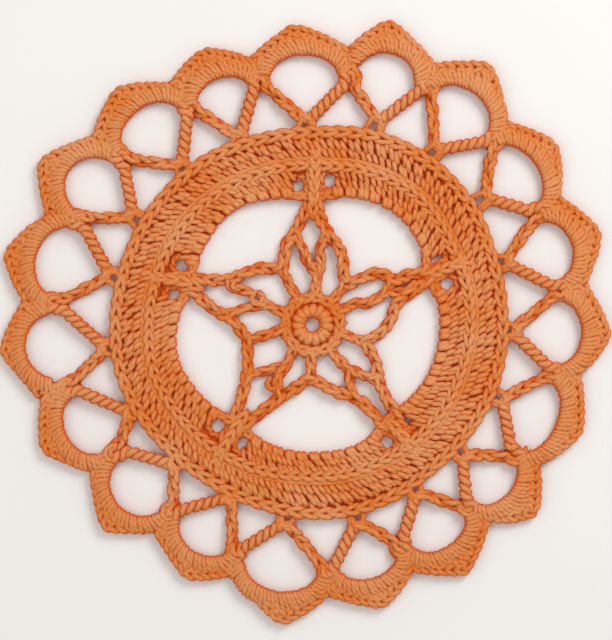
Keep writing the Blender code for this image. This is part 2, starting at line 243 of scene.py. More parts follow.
class Course:
    """A smooth line in plan that stitches are worked along, marked by its length."""

    FINE = 12  # points to each span of the line
    SIGHT = 0.7  # how far ahead and behind its heading is taken

    def __init__(self, places, closed=False):
        places = [np.asarray(place, float) for place in places]
        self.closed = closed
        if closed:
            spans = len(places)
            line = eased(places[-2:] + places + places[:3], self.FINE * (spans + 4) + 1)
            self.line = line[2 * self.FINE:-2 * self.FINE]
        else:
            self.line = eased(places, self.FINE * (len(places) - 1) + 1)
        steps = np.linalg.norm(np.diff(self.line, axis=0), axis=1)
        self.marks = np.concatenate([[0.0], np.cumsum(steps)])
        self.length = self.marks[-1]

    def mark(self, share):
        """The length at a share of the line's places."""
        share = np.asarray(share, float)
        laps = np.floor(share) if self.closed else 0.0
        spread = np.linspace(0, 1, len(self.marks))
        return np.interp(share - laps, spread, self.marks) + laps * self.length

    def share(self, mark):
        """The share of the line's places at a length."""
        return np.interp(mark, self.marks, np.linspace(0, 1, len(self.marks)))

    def place(self, marks):
        if self.closed:
            marks = marks % self.length
        held = np.clip(marks, 0, self.length)
        return np.stack([np.interp(held, self.marks, self.line[:, k]) for k in (0, 1)], axis=-1)

    def heading(self, marks):
        low, high = marks - self.SIGHT, marks + self.SIGHT
        if not self.closed:
            low = np.clip(low, 0, self.length - self.SIGHT)
            high = np.clip(high, self.SIGHT, self.length)
        ahead = self.place(high) - self.place(low)
        return ahead / np.linalg.norm(ahead, axis=-1, keepdims=True)

    def at(self, marks):
        """Place, heading and left side at each mark; past an open line's ends it runs on straight."""
        heading = self.heading(marks)
        place = self.place(marks)
        if not self.closed:
            past = marks - np.clip(marks, 0, self.length)
            place = place + past[..., None] * heading
        left = np.stack([-heading[..., 1], heading[..., 0]], axis=-1)
        return place, heading, left


class Skein:
    """Yarn strands gathered into one mesh; its UV map gives each strand's length and turn."""

    def __init__(self, name):
        self.name = name
        self.corners = []
        self.faces = []
        self.face_maps = []
        self.ends = []
        self.end_maps = []
        self.total = 0

    def lay(self, paths, thick=YARN):
        """Adds a yarn along each path, (count, points, 3); thick is its radius, even or along it."""
        paths = np.asarray(paths, float)
        if paths.ndim == 2:
            paths = paths[None]
        count, length, _ = paths.shape
        taper = np.ones(length)
        taper[[0, -1]] = TIP
        taper[[1, -2]] = NEAR_TIP
        radius = np.broadcast_to(np.asarray(thick, float), (count, length)) * taper
        radius = radius * (1 + uneven(count, YARN_UNEVEN))
        paths = np.dstack([paths[..., :2], np.maximum(paths[..., 2], radius)])
        laid.append(paths[..., :2].reshape(-1, 2))
        heading = np.gradient(paths, axis=1)
        heading /= np.linalg.norm(heading, axis=2, keepdims=True)
        side = self.carried(heading)
        up = np.cross(heading, side)
        turns = 2 * pi * np.arange(YARN_SIDES)[:, None] / YARN_SIDES
        ring = np.cos(turns) * side[:, :, None, :] + np.sin(turns) * up[:, :, None, :]
        corners = paths[:, :, None, :] + radius[:, :, None, None] * ring
        index = self.total + np.arange(count * length * YARN_SIDES).reshape(count, length, YARN_SIDES)
        self.add_faces(index, paths)
        self.corners.append(corners.reshape(-1, 3))
        self.total += index.size

    def carried(self, heading):
        """A direction square to each strand that turns no more than the strand does."""
        upright = np.abs(heading[:, 0, 2:3]) > UPRIGHT
        guide = np.where(upright, (1.0, 0.0, 0.0), (0.0, 0.0, 1.0))
        side = np.cross(heading[:, 0], guide)
        sides = []
        for k in range(heading.shape[1]):
            way = heading[:, k]
            side = side - np.sum(side * way, axis=1, keepdims=True) * way
            side = side / np.linalg.norm(side, axis=1, keepdims=True)
            sides.append(side)
        return np.stack(sides, axis=1)

    def add_faces(self, index, paths):
        """The quads round each strand and its two ends, mapped by length and turn."""
        count = len(paths)
        steps = np.linalg.norm(np.diff(paths, axis=1), axis=2)
        along = np.concatenate([np.zeros((count, 1)), np.cumsum(steps, axis=1)], axis=1)
        along += TURN_PER_STRAND * luck.random((count, 1))
        onward = np.roll(index, -1, axis=2)
        quads = np.stack([index[:, :-1], onward[:, :-1], onward[:, 1:], index[:, 1:]], axis=-1)
        self.faces.append(quads.reshape(-1, 4))
        near = np.broadcast_to(along[:, :-1, None], quads.shape[:3])
        far = np.broadcast_to(along[:, 1:, None], quads.shape[:3])
        turn = np.broadcast_to(np.arange(YARN_SIDES) / YARN_SIDES, quads.shape[:3])
        after = turn + 1 / YARN_SIDES
        lengths = np.stack([near, near, far, far], axis=-1)
        turned = np.stack([turn, after, after, turn], axis=-1)
        self.face_maps.append(np.stack([lengths, turned], axis=-1).reshape(-1, 2))
        for ring, mark in ((index[:, 0, ::-1], along[:, 0]), (index[:, -1], along[:, -1])):
            self.ends.append(ring)
            spread = np.broadcast_to(np.arange(YARN_SIDES) / YARN_SIDES, ring.shape)
            marks = np.broadcast_to(mark[:, None], ring.shape)
            self.end_maps.append(np.stack([marks, spread], axis=-1).reshape(-1, 2))

    def made(self, material):
        """The skein as a piece that rides with the doily."""
        corners = np.vstack(self.corners) * MM
        faces = np.vstack(self.faces)
        ends = np.vstack(self.ends)
        mesh = bpy.data.meshes.new(self.name)
        mesh.vertices.add(len(corners))
        mesh.vertices.foreach_set("co", corners.ravel())
        mesh.loops.add(faces.size + ends.size)
        mesh.loops.foreach_set("vertex_index", np.concatenate([faces.ravel(), ends.ravel()]))
        totals = np.concatenate([np.full(len(faces), 4), np.full(len(ends), YARN_SIDES)])
        mesh.polygons.add(len(totals))
        mesh.polygons.foreach_set("loop_start", np.concatenate([[0], np.cumsum(totals)[:-1]]))
        mesh.polygons.foreach_set("use_smooth", np.ones(len(totals), bool))
        layer = mesh.uv_layers.new(name="yarn")
        layer.data.foreach_set("uv", np.vstack(self.face_maps + self.end_maps).ravel())
        mesh.update(calc_edges=True)
        mesh.validate()
        return piece(self.name, mesh, material)


def piece(name, mesh, material):
    """An object of the mesh that rides with the doily."""
    mesh.materials.append(material)
    made = bpy.data.objects.new(name, mesh)
    bpy.context.scene.collection.objects.link(made)
    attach(made, "root")
    return made


def at(bearing, radius):
    """The place at a bearing and radius from the hub."""
    turn = radians(bearing)
    return HUB + radius * np.array((sin(turn), cos(turn)))


def unit(way):
    return way / np.linalg.norm(way)


def uneven(count, size):
    """A small random departure for each of a count of stitches, as a column."""
    return size * luck.uniform(-1, 1, (count, 1))


# How uneven the work is by hand, each in mm or as a share of what it alters
ChainHand = namedtuple("ChainHand", "along aside rise level")
TallHand = namedtuple("TallHand", "sway head reach rise level")
CHAIN_HAND = ChainHand(along=0.14, aside=0.07, rise=0.08, level=0.08)
TALL_HAND = TallHand(sway=0.16, head=0.18, reach=0.03, rise=0.1, level=0.1)


def value_at(value, marks):
    """A value that is one for a whole course, or a function of the marks along it."""
    return value(marks) if callable(value) else value


def worked(course, shape, starts, pitch=1.0, aside=1.0, roll=0.0, level=CLOTH_MIDDLE, loose=1.0):
    """Copies of a stitch's path, (along, aside, up), from each start on a course; loose is how uneven."""
    starts = np.asarray(starts, float)[:, None]
    count = len(starts)
    marks = starts + uneven(count, CHAIN_HAND.along * loose) + shape[:, 0] * pitch
    place, _, left = course.at(marks)
    turn = value_at(roll, marks)
    out = shape[:, 1] * (aside + uneven(count, CHAIN_HAND.aside * loose))
    up = shape[:, 2] * (1 + uneven(count, CHAIN_HAND.rise * loose))
    lean = out * np.cos(turn) - up * np.sin(turn)
    rise = out * np.sin(turn) + up * np.cos(turn)
    height = value_at(level, marks) + rise + uneven(count, CHAIN_HAND.level * loose)
    return np.dstack([place + lean[..., None] * left, height])


def spanned(inner, outer, shape, feet, heads, loose=1.0):
    """Copies of a tall stitch's path, (across, share of its height, up), between two courses."""
    count = len(feet)
    sway = shape[:, 0] + uneven(count, TALL_HAND.sway * loose)
    low = inner.at(np.asarray(feet)[:, None] + sway)[0]
    high = outer.at(np.asarray(heads)[:, None] + sway + uneven(count, TALL_HAND.head * loose))[0]
    share = shape[:, 1] * (1 + uneven(count, TALL_HAND.reach * loose))
    up = shape[:, 2] * (1 + uneven(count, TALL_HAND.rise * loose))
    plan = low + share[..., None] * (high - low)
    return np.dstack([plan, CLOTH_MIDDLE + up + uneven(count, TALL_HAND.level * loose)])


# A chain's loop, from behind the loop before it, spreading along both sides of the next and round
# behind that: (share of the pitch along, share of its half width aside, up). The bump is its third
# strand, on the underside.
CHAIN_ARM = [
    (-0.30, 0.06, -0.70), (-0.10, 0.12, 0.05), (0.16, 0.40, 0.46), (0.50, 0.80, 0.54), (0.82, 1.0, 0.24),
    (1.06, 0.90, -0.30), (1.20, 0.35, -0.72),
]
CHAIN_LOOP = eased(CHAIN_ARM + [(reach, -aside, up) for reach, aside, up in CHAIN_ARM[::-1]], 27)
CHAIN_BUMP = eased([(0.02, 0.25, -0.70), (0.30, 0.20, -0.95), (0.72, -0.20, -0.95), (1.0, -0.25, -0.70)], 7)
CHAIN_PITCH = 4.3
CHAIN_SIDE = 1.15  # half of a chain's width, between the middles of its two arms


def chain(skein, course, start=0.0, end=None, pitch=CHAIN_PITCH, side=CHAIN_SIDE, thick=YARN, back=False,
          roll=0.0, level=CLOTH_MIDDLE, loose=1.0, left_swell=1.0):
    """A line of chain along a course; back works it the other way, left_swell thickens its left arms."""
    end = course.length if end is None else end
    links = max(2, round((end - start) / pitch))
    step = (end - start) / links
    starts = start + step * np.arange(links)
    if back:
        starts, step = starts + step, -step
    swell = 1 + (left_swell - 1) * np.clip(CHAIN_LOOP[:, 1], 0, 1)
    skein.lay(worked(course, CHAIN_LOOP, starts, step, side, roll, level, loose), thick * swell)
    skein.lay(worked(course, CHAIN_BUMP, starts, step, side, roll, level, loose), thick)


ROPE_STRANDS = 2
ROPE_LAY = 5.8  # length of one full turn of a strand
ROPE_HELIX = 1.2  # the radius at which its strands wind
ROPE_FLAT = 0.86  # how high it is for its width
ROPE_YARN = 1.2
ROPE_STEP = 0.55
ROPE_WAVER, WAVER_RATE = 0.06, 1.7  # how much its helix swells and shrinks, and radians of that a mm


def rope(skein, course, level=CLOTH_MIDDLE, helix=ROPE_HELIX, thick=ROPE_YARN, lay=ROPE_LAY):
    """A hard-twisted leg: its strands lean to the left as they climb."""
    marks = np.linspace(0.0, course.length, max(6, round(course.length / ROPE_STEP)))
    first = luck.uniform(0, 2 * pi)
    place, _, left = course.at(marks)
    paths = []
    for k in range(ROPE_STRANDS):
        turn = first + 2 * pi * (marks / lay + k / ROPE_STRANDS)
        swell = helix * (1 + ROPE_WAVER * np.sin(marks * WAVER_RATE + k))
        plan = place + (swell * np.sin(turn))[:, None] * left
        height = value_at(level, marks) + ROPE_FLAT * swell * np.cos(turn)
        paths.append(np.column_stack([plan, height]))
    skein.lay(np.stack(paths), thick)


def wandering(size, course):
    """A roll that wanders along a course, as a hand-worked chain turns on the table."""
    first, rate = luck.uniform(0, 2 * pi), luck.uniform(0.3, 0.5)
    return lambda marks: size * np.sin(first + rate * marks)


def arched(course, low, high):
    """A level that rises along the first half of a course and falls again along the second."""
    return lambda marks: low + (high - low) * np.sin(pi * np.clip(marks / course.length, 0, 1)) ** 0.7


def climbing(course, low, high):
    """A level that rises from a course's start until most of the way along it."""
    return lambda marks: low + (high - low) * np.clip(marks / (0.6 * course.length), 0, 1)


# ---------------------------------------------------------------------------------------------------
# The centre ring and the star
# ---------------------------------------------------------------------------------------------------


def ring_course(centre, radius, places=24):
    """A round course, from its top clockwise."""
    turns = [2 * pi * k / places for k in range(places)]
    return Course([centre + radius * np.array((sin(turn), cos(turn))) for turn in turns], closed=True)


WRAPS = 15
WRAP_RADIUS = 4.75  # the middle of the ring's roll
WRAP_REACH, WRAP_RISE, WRAP_LEAN = 1.45, 0.75, 0.3  # a wrap's half width, half height and slant
WRAP_FROM, WRAP_TO, WRAP_POINTS = -60, 215, 16  # the turns of it that show, from its inner side
WRAP_FILL, WRAP_MOST = 0.34, 1.6  # its yarn's radius for each mm from the ring's middle, and at most
RIM_RADIUS = 9.5
RIM_LINKS = 15
RIM_LEAVES = 20
RIM_LEAF = eased(
    [(1.0, -2.0, -0.3), (0.8, -1.2, 0.5), (0.2, 0.2, 0.8), (-0.4, 1.5, 0.5), (-0.8, 2.2, -0.4)], 9
)


def centre_ring(material):
    """The first round: a fat roll of wraps with a rim of chained stitch tops."""
    skein = Skein("centre_ring")
    roll = ring_course(RING_CENTRE, WRAP_RADIUS)
    turns = np.radians(np.linspace(WRAP_FROM, WRAP_TO, WRAP_POINTS))
    across, up = np.cos(turns), np.sin(turns)
    shape = np.column_stack([-WRAP_LEAN * across, -WRAP_REACH * across, WRAP_RISE * up])
    starts = roll.length * np.arange(WRAPS) / WRAPS
    thick = np.minimum(WRAP_FILL * (WRAP_RADIUS + shape[:, 1]), WRAP_MOST)
    skein.lay(worked(roll, shape, starts, level=1.9, loose=1.2), thick)
    rim = ring_course(RING_CENTRE, RIM_RADIUS)
    chain(skein, rim, pitch=rim.length / RIM_LINKS, side=1.2, thick=0.94, back=True, level=2.0, loose=1.6)
    starts = rim.length * np.arange(RIM_LEAVES) / RIM_LEAVES
    skein.lay(worked(rim, RIM_LEAF, starts, level=1.5, loose=2.0), 1.0)
    return skein.made(material)


# The star's loose chains: half width, yarn radius and how far they roll over
LooseChain = namedtuple("LooseChain", "side thick roll")
STAR_OUTLINE = LooseChain(1.4, 1.05, 0.7)
STAR_RIB = LooseChain(1.2, 0.98, 0.7)
STAR_FORK = LooseChain(1.12, 0.94, 0.8)
STAR_LEVEL = 1.8
SMALL_LOOPS = [(-11.5, -21.5, 1.9), (-16.8, 8.7, 1.9), (4.7, 19.4, 1.6)]  # x, y and radius


def loose_chain(skein, kind, places):
    """A chain of the star, which rolls to one side and the other."""
    course = Course(places)
    chain(skein, course, side=kind.side, thick=kind.thick, level=STAR_LEVEL,
          roll=wandering(kind.roll, course), loose=2.2)


def star_chains(material):
    """The star: its outline worked from point to point, the ribs, their forks and the cords to the dips."""
    skein = Skein("star_chains")
    for row, before in zip(STAR, STAR[-1:] + STAR[:-1]):
        loose_chain(skein, STAR_OUTLINE, before.far[::-1] + row.near[1:])
        dip, foot = np.array(row.near[0]), np.array(row.dip_foot)
        loose_chain(skein, STAR_RIB, [foot, 0.5 * (foot + dip), dip])
        loose_chain(skein, STAR_RIB, row.spoke)
        for branch in row.forks:
            loose_chain(skein, STAR_FORK, branch)
        column = Course(row.column)
        chain(skein, column, pitch=4.2, side=1.35, thick=1.04, level=arched(column, 1.9, 2.9))
    for x, y, radius in SMALL_LOOPS:
        loop = ring_course(np.array((x, y)), radius, 8)
        rope(skein, loop, level=2.0, helix=0.3, thick=0.84, lay=loop.length / 2)
    return skein.made(material)


# ---------------------------------------------------------------------------------------------------
# The band
# ---------------------------------------------------------------------------------------------------

BAND_PLACES = 72
BAND_LINKS = 86
CROSSING_OUT = 1.9  # how far outside the inner edge a chain crosses behind the star's columns
CROSSING_MARGIN = 1  # degrees from it to the stitches on either side
RIDGE_OUT = 2.5  # how far outside the middle chain a strand runs along it, under its outer legs
RIDGE_LEVEL, RIDGE_WAVE, RIDGE_WAVE_LENGTH = 2.3, 0.12, 4.1
RIDGE_POINTS = 300
RIDGE_OVERLAP = 2  # how far its end runs on past its start


def all_round(rows):
    """Radii at BAND_PLACES even bearings, from rows of bearing and radius that go once round."""
    bearings, radii = (list(column) for column in zip(*rows))
    around = [b - 360 for b in bearings[-2:]] + bearings + [b + 360 for b in bearings[:2]]
    fine = eased(list(zip(around, radii[-2:] + radii + radii[:2])), 24 * len(around))
    return np.interp(np.arange(BAND_PLACES) * 360 / BAND_PLACES, fine[:, 0], fine[:, 1])


INNER_RADII = all_round([(row.bearing, row.inner) for row in BAND_EDGES])
OUTER_RADII = all_round([(row.bearing, row.outer) for row in BAND_EDGES])
MIDDLE_RADII = all_round(MIDDLE_LINE)


def band_course(radii):
    places = [at(360 * k / BAND_PLACES, radius) for k, radius in enumerate(radii)]
    return Course(places, closed=True)


def strands(height, rows):
    """A tall stitch's strands, (yarn radius, path), with the way out as a share of the stitch's height."""
    return [(thick, eased([(across, out / height, up) for across, out, up in places], count))
            for thick, count, places in rows]


# The strands of each round's stitch: yarn radius, points along it, and (across, out, up) as they climb
# outward and anticlockwise. The first round's feet are wrapped over the inner edge and counted by
# themselves.
FIRST_HEIGHT, SECOND_HEIGHT, BACK_HEIGHT = 9.6, 11.8, 10
FOOT_STRANDS = strands(FIRST_HEIGHT, [
    (1.3, 15, [(1.0, 2.9, -0.75), (1.05, 1.8, -0.75), (1.05, 1.35, -0.35), (1.0, 1.35, 0.35),
               (0.8, 1.7, 0.8), (0.5, 2.5, 0.8), (0.1, 3.2, 0.4), (-0.15, 3.8, -0.5)]),
    (1.3, 15, [(-0.6, 2.9, -0.75), (-0.6, 1.8, -0.75), (-0.6, 1.3, -0.35), (-0.6, 1.25, 0.35),
               (-0.7, 1.6, 0.75), (-0.95, 2.4, 0.7), (-1.3, 3.2, 0.35), (-1.6, 3.8, -0.5)]),
])
FIRST_STRANDS = strands(FIRST_HEIGHT, [
    (0.92, 9, [(2.6, 2.9, -0.6), (1.9, 3.8, 0.7), (1.1, 4.8, 1.15), (0.4, 5.7, 0.8), (-0.2, 6.5, -0.6)]),
    (0.88, 9, [(0.6, 2.7, -0.6), (-0.1, 3.6, 0.75), (-0.9, 4.6, 1.05), (-1.6, 5.5, 0.6), (-2.2, 6.3, -0.6)]),
    (0.92, 9, [(1.6, 5.2, -0.6), (0.9, 6.1, 0.75), (0.1, 7.1, 1.15), (-0.6, 8.0, 0.8), (-1.2, 8.8, -0.6)]),
    (0.88, 9, [(3.5, 5.4, -0.6), (2.8, 6.3, 0.65), (2.0, 7.3, 1.0), (1.3, 8.2, 0.6), (0.7, 8.9, -0.6)]),
])
SECOND_STRANDS = strands(SECOND_HEIGHT, [
    (1.0, 9, [(2.9, 2.4, -0.6), (2.2, 3.3, 0.65), (1.4, 4.3, 1.1), (0.7, 5.3, 0.8), (0.1, 6.2, -0.6)]),
    (0.96, 9, [(0.8, 2.6, -0.6), (0.1, 3.5, 0.65), (-0.7, 4.5, 1.0), (-1.4, 5.4, 0.6), (-2.0, 6.3, -0.6)]),
    (1.04, 10, [(2.6, 5.0, -0.6), (1.9, 6.0, 0.7), (1.0, 7.1, 1.2), (0.2, 8.2, 0.9), (-0.5, 9.2, -0.6)]),
    (0.98, 10, [(0.5, 5.4, -0.6), (-0.2, 6.4, 0.7), (-1.1, 7.6, 1.1), (-1.9, 8.7, 0.7), (-2.6, 9.7, -0.6)]),
    (0.88, 9, [(2.2, 7.6, -0.6), (1.6, 8.5, 0.7), (0.9, 9.4, 1.0), (0.4, 10.2, 0.5), (0.0, 10.9, -0.6)]),
])
BACK_STRANDS = strands(BACK_HEIGHT, [
    (0.85, 8, [(-0.6, 0.8, -0.7), (-0.8, 3.0, -0.9), (0.2, 6.4, -0.9), (0.9, 9.6, -0.7)]),
    (0.85, 8, [(1.2, 0.8, -0.7), (1.0, 3.0, -0.9), (1.9, 6.4, -0.9), (2.4, 9.6, -0.7)]),
])


def tall_stitches(skein, inner, outer, stitch, turns):
    """Tall stitches from one line of chain to the next, at shares of a turn."""
    for thick, shape in stitch:
        skein.lay(spanned(inner, outer, shape, inner.mark(turns), outer.mark(turns), loose=2.0), thick)


def band(material):
    """Two rounds of tall stitches, the first over the star's chains, each with its chained top."""
    edge = band_course(INNER_RADII)
    middle = band_course(MIDDLE_RADII)
    top = band_course(OUTER_RADII - TOP_CHAIN_IN)
    first = Skein("first_round")
    for run in STITCH_RUNS:
        tall_stitches(first, edge, middle, FOOT_STRANDS, np.linspace(run.first, run.last, run.feet) / 360)
        turns = np.linspace(run.first, run.last, run.stitches) / 360
        tall_stitches(first, edge, middle, FIRST_STRANDS + BACK_STRANDS, turns)
    behind = band_course(INNER_RADII + CROSSING_OUT)
    for run, after in zip(STITCH_RUNS, STITCH_RUNS[1:] + STITCH_RUNS[:1]):
        span = (after.first - run.last) % 360 - 2 * CROSSING_MARGIN
        low = behind.mark((run.last + CROSSING_MARGIN) / 360)
        chain(first, behind, low, low + span / 360 * behind.length, pitch=3.9, side=0.95, thick=0.9,
              level=1.8, loose=1.4)
    for bearing, radius in EYELETS:
        rim = ring_course(at(bearing, radius), EYELET_RIM, 12)
        rope(first, rim, level=1.6, helix=0.5, thick=0.84, lay=rim.length / 4)
    second = Skein("second_round")
    turns = (np.arange(BAND_LINKS) + 0.5) / BAND_LINKS
    tall_stitches(second, middle, top, SECOND_STRANDS + BACK_STRANDS, turns)
    ridge = band_course(MIDDLE_RADII + RIDGE_OUT)
    marks = np.linspace(0, ridge.length + RIDGE_OVERLAP, RIDGE_POINTS)
    height = RIDGE_LEVEL + RIDGE_WAVE * np.sin(marks * 2 * pi / RIDGE_WAVE_LENGTH)
    second.lay(np.column_stack([ridge.place(marks), height]), 1.1)
    tops = Skein("band_chains")
    chain(tops, middle, pitch=middle.length / BAND_LINKS, side=1.3, thick=0.9, back=True, level=2.55,
          loose=1.5, left_swell=1.25)
    chain(tops, top, pitch=top.length / BAND_LINKS, side=1.36, thick=1.0, back=True, level=2.3,
          loose=1.5, left_swell=1.12)
    return [skein.made(material) for skein in (first, second, tops)]


# ---------------------------------------------------------------------------------------------------
# The net of legs
# ---------------------------------------------------------------------------------------------------

KNEE_IN = 1.9  # how far inside the crotch two legs meet above the band
KNEE_HALF = 1.2  # how far each leg's middle is from the foot's there
FOOT_IN = 1.2  # how far inside the band's outer edge a post or leg is rooted
FOOT_CLEAR = 0.3  # how much further out a post bends up
ROOT_LEVEL = 1.7
# The yarns at a knee: radius, then (clockwise of the foot's middle, out from the knee, up), and how far
# clockwise of the foot's middle each goes into the band, where it does
KNEE_STRANDS = [
    (1.08, [(1.9, 2.4, 1.9), (0.9, 1.2, 2.7), (-0.5, 0.3, 2.9), (-1.8, -0.6, 2.5)], -3.2),
    (1.15, [(-2.6, 2.6, 2.0), (-1.4, 1.5, 2.9), (0.1, 0.6, 3.2), (1.3, -0.5, 2.7)], 1.7),
    (1.05, [(2.6, 3.0, 2.0), (2.4, 1.4, 2.5), (2.4, -0.2, 2.4)], 2.7),
    (1.2, [(-3.0, 1.2, 1.8), (-1.6, -0.1, 2.4), (0.2, -0.4, 2.5), (1.9, -0.1, 2.3), (3.2, 1.0, 1.8)], None),
]
KNUCKLE_OUT = 0.3  # how far outside the middle of the seam between two arches their legs close
LEG_APART = 2.0  # how far each leg's middle is from the join's
LEG_PARTED = 2.2  # how far outside the arches' inner side that is so
# Where a leg ends in a join: how far inside the knuckle, to its own side and clockwise
LEG_END = [(2.6, LEG_APART, 0.3), (0.6, 1.0, 0.5)]
# The yarns over a join, from the legs up into the seam between two arches: radius, then (clockwise of
# the seam, out from the knuckle, up)
JOIN_STRANDS = [
    (1.0, [(-2.3, -3.6, 1.7), (-2.2, -2.0, 2.5), (-1.2, -0.2, 3.0), (0.5, 0.5, 3.1), (2.0, -0.2, 3.0),
           (3.0, -2.0, 2.5), (3.1, -3.8, 1.6)]),
    (1.0, [(-1.5, -3.4, 1.8), (-0.8, -2.3, 2.6), (0.5, -1.2, 3.0), (1.7, -2.3, 2.6), (2.2, -3.5, 1.8)]),
    (1.05, [(-1.6, -1.4, 1.9), (-1.2, 0.8, 2.7), (-1.6, 3.0, 2.9), (-2.6, 5.0, 2.4), (-3.2, 6.2, 1.5)]),
    (1.05, [(0.2, -0.6, 2.2), (0.2, 1.6, 2.9), (0.0, 3.6, 2.8), (-0.4, 5.4, 1.8)]),
    (1.05, [(1.8, -1.0, 1.9), (1.7, 1.2, 2.7), (2.1, 3.4, 2.8), (2.9, 5.2, 2.3), (3.4, 6.2, 1.5)]),
]


def radius_at(radii, bearing):
    """The radius at a bearing, from radii at BAND_PLACES even bearings."""
    return np.interp(bearing % 360, np.arange(BAND_PLACES + 1) * 360 / BAND_PLACES,
                     np.append(radii, radii[0]))


def band_inner_radius(bearing):
    return radius_at(INNER_RADII, bearing)


def band_outer_radius(bearing):
    return radius_at(OUTER_RADII, bearing)


def beside(bearing, radius, onward):
    """A place some way clockwise of a bearing's line, square to it."""
    middle = at(bearing, radius)
    outward = unit(middle - HUB)
    return middle + onward * np.array((outward[1], -outward[0]))


def join_place(row, radius, onward):
    """A place at a radius some way clockwise of the seam between two arches."""
    share = (radius - row.under) / (row.notch - row.under)
    return beside(row.seam + share * (row.join - row.seam), radius, onward)


def knuckle(row):
    """The radius where the two legs of a join close over each other."""
    return 0.5 * (row.under + row.notch) + KNUCKLE_OUT


def knee(row):
    """The radius where the two legs of a foot meet above the band."""
    return max(row.crotch - KNEE_IN, band_outer_radius(row.foot) - FOOT_IN)


def leg_course(landing, side, row):
    """From a foot up to a join, side -1 on their anticlockwise sides at the join and 1 on the other."""
    foot = beside(landing.foot, knee(landing), -side * KNEE_HALF)
    parted = join_place(row, row.under + LEG_PARTED, side * LEG_APART)
    way = parted - foot
    top = knuckle(row)
    ends = [join_place(row, top - inside, side * apart + onward) for inside, apart, onward in LEG_END]
    return Course([foot, foot + 0.4 * way, foot + 0.8 * way, parted, *ends])


def foot_posts(skein, row):
    """The yarns that cross at the knee and stand on the band, with a small hole between them."""
    rooted = band_outer_radius(row.foot) - FOOT_IN
    for thick, places, onward in KNEE_STRANDS:
        path = [(*beside(row.foot, max(knee(row) + out, rooted + FOOT_CLEAR), aside), up)
                for aside, out, up in places]
        if onward is not None:
            path.append((*beside(row.foot, rooted, onward), ROOT_LEVEL))
        skein.lay(eased(path, 4 * len(path)), thick)


def join_knot(skein, row):
    """The yarns that close over the two legs at a join and run up into the arches."""
    for thick, places in JOIN_STRANDS:
        path = [(*join_place(row, knuckle(row) + out, onward), up) for onward, out, up in places]
        skein.lay(eased(path, 3 * len(path)), thick)


def net_legs(material):
    """From each join a hard-twisted leg back to the foot before it and a chain on to the foot after it."""
    ropes = Skein("net_twisted_legs")
    chains = Skein("net_chain_legs")
    for row, before in zip(SCALLOPS, SCALLOPS[-1:] + SCALLOPS[:-1]):
        back = leg_course(before, -1, row)
        rope(ropes, back, climbing(back, 2.0, 2.6))
        rope(ropes, back, climbing(back, 2.0, 2.6), helix=0.3, thick=1.0)  # fills the first one's middle
        on = leg_course(row, 1, row)
        chain(chains, on, side=1.4, thick=1.06, level=2.0, roll=wandering(0.8, on), loose=2.0)
        foot_posts(chains, row)
        join_knot(chains, row)
    return [ropes.made(material), chains.made(material)]


# ---------------------------------------------------------------------------------------------------
# The edging
# ---------------------------------------------------------------------------------------------------

ROLL_RADIUS = 2.1  # how far from the opening's edge the middle of its roll of wraps is
EDGE_IN = 2.55  # how far inside the arch's outline the chain along its top runs
EDGE_OVERLAP = 1.2  # how far that chain runs on past each notch
ARCH_STITCHES = 11
LEAVES_PER_STITCH = 1.5
ROLL_PITCH = 1.4
ROLL_FROM = 0.12  # the share of the opening's line at which its wraps begin, above the join
LEAF_FROM = 0.08  # and that at which its leaves begin
SEAM_FROM, SEAM_IN = 1.5, 1.2  # how far outside the knuckle and inside the notch a seam's chain ends
# A stitch's wrap from under the arch's inner edge over it and out along the arch's top
ROLL_WRAP = eased([
    (0.2, -0.8, -1.2), (0.55, -1.55, -0.75), (0.7, -1.85, 0.0), (0.6, -1.5, 0.85), (0.3, -0.7, 1.25),
    (-0.1, 0.5, 1.2), (-0.5, 1.7, 0.95), (-0.9, 2.8, 0.5), (-1.2, 3.6, -0.5),
], 17)
# The yarns from there out to the arch's chained top: radius, then (across, share of the way out, up)
ARCH_LEAVES = [
    (1.0, eased([(1.1, 0.10, 0.2), (0.8, 0.22, 0.7), (0.2, 0.42, 0.95), (-0.5, 0.62, 0.7),
                 (-0.9, 0.78, -0.2)], 9)),
    (0.95, eased([(-0.9, 0.42, -0.2), (-1.1, 0.54, 0.7), (-1.6, 0.70, 1.0), (-2.2, 0.88, 0.7),
                  (-2.5, 1.0, -0.2)], 9)),
    (0.9, eased([(-0.5, 0.1, -0.8), (0.0, 0.5, -0.95), (0.5, 1.0, -0.8)], 6)),
]


def arch_lines(row, following):
    """An arch's lines of work: round its opening, along its outline, and the outline's free part."""
    centre = at(row.middle, row.mid)
    outward = unit(centre - HUB)
    onward = np.array((outward[1], -outward[0]))
    corners = [
        at(row.seam, row.under),
        at(row.join, row.notch),
        at(row.tip, row.reach),
        at(following.join, following.notch),
        at(following.seam, following.under),
    ]
    opening, outline = [], []
    for angle, side, share in ARCH_SECTIONS:
        turn = radians(angle)
        aside = (row.half + ROLL_RADIUS) * cos(turn)
        out = (row.crown - row.mid + ROLL_RADIUS) * sin(turn)
        inner = centre - aside * onward + out * outward
        outer = corners[side] + share * (corners[side + 1] - corners[side])
        if side in (FLANK_UP, FLANK_DOWN):
            outer = outer + FLANK_BULGE * sin(pi * share) * unit(outer - centre)
        opening.append(inner)
        outline.append(outer + EDGE_IN * unit(inner - outer))
    return Course(opening), Course(outline), Course(outline[FIRST_NOTCH:LAST_NOTCH + 1])


